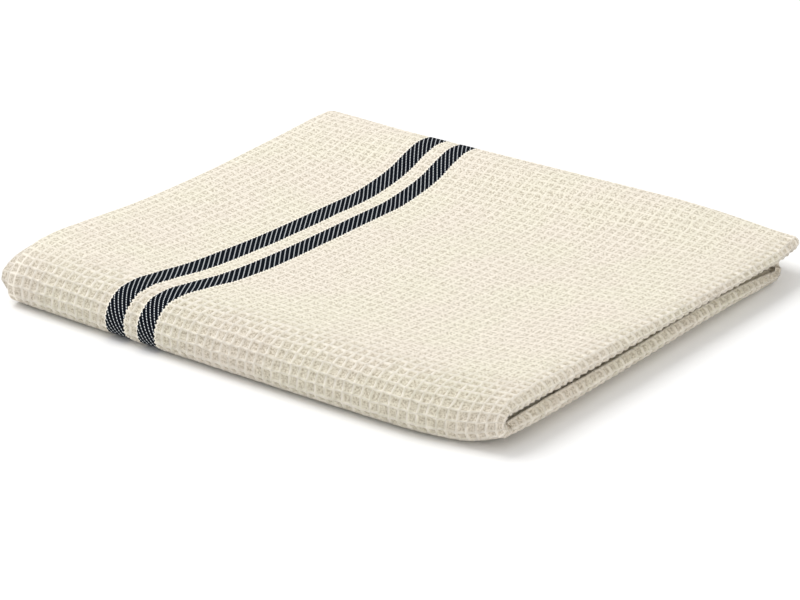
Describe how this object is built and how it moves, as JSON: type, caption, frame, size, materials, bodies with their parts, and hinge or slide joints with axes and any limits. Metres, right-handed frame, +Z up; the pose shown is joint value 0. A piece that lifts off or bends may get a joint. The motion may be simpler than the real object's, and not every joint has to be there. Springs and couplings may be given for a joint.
{
  "type": "tea towel",
  "caption": "Cream waffle-weave cotton tea towel with navy twill stripes near one side, folded flat into a soft rectangle with a rounded front roll.",
  "frame": {"origin": "centre of the resting face's bounding box, on the surface that the towel lies on", "axes": "+X to the right along the long side, towards the half fold; +Y to the back, away from the big front roll; +Z up"},
  "size_m": [0.2582, 0.2132, 0.022],
  "materials": {
    "waffle_cloth": "matte waffle-weave cotton, cream with navy twill stripes"
  },
  "bodies": {
    "root": {"towel_cloth": "waffle_cloth"}
  },
  "joints": []
}
